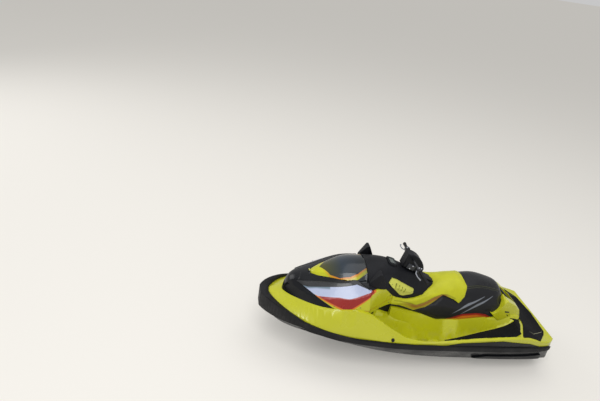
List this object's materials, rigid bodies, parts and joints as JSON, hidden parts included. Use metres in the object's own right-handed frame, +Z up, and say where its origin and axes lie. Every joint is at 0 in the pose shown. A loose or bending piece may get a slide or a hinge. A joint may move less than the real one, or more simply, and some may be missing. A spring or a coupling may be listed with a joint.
{
  "type": "personal watercraft",
  "caption": "Sport personal watercraft with turning handlebar, steering nozzle, reverse bucket, impeller, hinged hood and glovebox.",
  "frame": {"origin": "middle of the craft's length and width, on the flat that the keel pad stands on", "axes": "+X towards the bow, +Y to port, +Z up"},
  "size_m": [3.23, 1.2082, 1.1476],
  "materials": {
    "hull_black": "black gelcoat, satin",
    "bumper_rubber": "moulded rubber, matt",
    "deck_yellow": "yellow gelcoat, gloss",
    "panel_black": "black moulded panel, semi-gloss",
    "fairing_graphics": "silver white, red and yellow fields, gloss",
    "console_black": "black moulded plastic, fine grain",
    "vent_yellow": "yellow moulded grille",
    "mirror_glass": "mirror glass",
    "seat_yellow": "yellow marine vinyl",
    "seat_black": "black marine vinyl",
    "mat_black": "ribbed foam mat",
    "bin_plastic": "moulded plastic tub",
    "bar_metal": "black powder-coated tube",
    "grip_rubber": "ribbed rubber grip",
    "controls_plastic": "moulded plastic and alloy levers",
    "pump_alloy": "cast and painted alloy",
    "impeller_steel": "machined stainless steel",
    "nozzle_plastic": "glass-filled plastic",
    "plate_black": "black-coated alloy plate",
    "eye_steel": "polished stainless steel",
    "engine_block": "cast alloy block"
  },
  "bodies": {
    "craft": {"bow_eye": "eye_steel", "bumper": "bumper_rubber", "console": "console_black", "deck": "deck_yellow", "drain_plug_port": "bumper_rubber", "drain_plug_starboard": "bumper_rubber", "engine": "engine_block", "footwell_mat_port": "mat_black", "footwell_mat_starboard": "mat_black", "front_cowl": "panel_black", "gauge": "controls_plastic", "grab_handle": "grip_rubber", "hood_pin": "eye_steel", "hull": "hull_black", "intake_grate": "pump_alloy", "lid_pin": "eye_steel", "mirror_glass_port": "mirror_glass", "mirror_glass_starboard": "mirror_glass", "mirror_pod_port": "console_black", "mirror_pod_starboard": "console_black", "nose_panel": "panel_black", "platform_mat": "mat_black", "pump_housing": "pump_alloy", "quarter_panel_port": "hull_black", "quarter_panel_starboard": "hull_black", "rear_cowl": "deck_yellow", "ride_plate": "plate_black", "seat_rear": "seat_black", "seat_saddle": "seat_yellow", "side_fairing_port": "fairing_graphics", "side_fairing_starboard": "fairing_graphics", "side_outlet_port": "bumper_rubber", "side_outlet_starboard": "bumper_rubber", "side_vent_port": "vent_yellow", "side_vent_starboard": "vent_yellow", "sponson_port": "nozzle_plastic", "sponson_starboard": "nozzle_plastic", "stern_eye_port": "eye_steel", "stern_eye_starboard": "eye_steel", "storage_bin": "bin_plastic", "tail_block": "console_black", "tail_cap": "console_black", "venturi": "pump_alloy"},
    "hood": {"hood": "panel_black"},
    "glovebox_lid": {"glovebox_lid": "console_black"},
    "handlebar": {"steering_column": "bar_metal", "handlebar": "bar_metal", "riser_cover": "console_black", "grip_port": "grip_rubber", "grip_starboard": "grip_rubber", "controls_port": "controls_plastic", "controls_starboard": "controls_plastic"},
    "nozzle": {"steering_nozzle": "nozzle_plastic"},
    "bucket": {"reverse_bucket": "nozzle_plastic"},
    "impeller": {"impeller": "impeller_steel"}
  },
  "joints": [
    {"name": "steering", "type": "hinge", "parent": "craft", "child": "handlebar", "pos_m": [0.057, 0, 0.955], "axis": [-0.3746, 0, 0.9272], "range_deg": [-25, 25]},
    {"name": "nozzle_yaw", "type": "hinge", "parent": "craft", "child": "nozzle", "pos_m": [-1.453, 0, 0.15], "axis": [0, 0, 1], "range_deg": [-22, 22]},
    {"name": "bucket_drop", "type": "hinge", "parent": "craft", "child": "bucket", "pos_m": [-1.391, 0, 0.165], "axis": [0, -1, 0], "range_deg": [0, 58]},
    {"name": "impeller_spin", "type": "hinge", "parent": "craft", "child": "impeller", "pos_m": [-1.238, 0, 0.15], "axis": [1, 0, 0], "continuous": true},
    {"name": "hood_lift", "type": "hinge", "parent": "craft", "child": "hood", "pos_m": [1.13, 0, 0.862], "axis": [0, 1, 0], "range_deg": [0, 45]},
    {"name": "glovebox_open", "type": "hinge", "parent": "craft", "child": "glovebox_lid", "pos_m": [-0.0878, 0, 0.8836], "axis": [0, 1, 0], "range_deg": [0, 55]}
  ],
  "couplings": [
    {"joint": "nozzle_yaw", "follows": "steering", "ratio": -0.88}
  ]
}
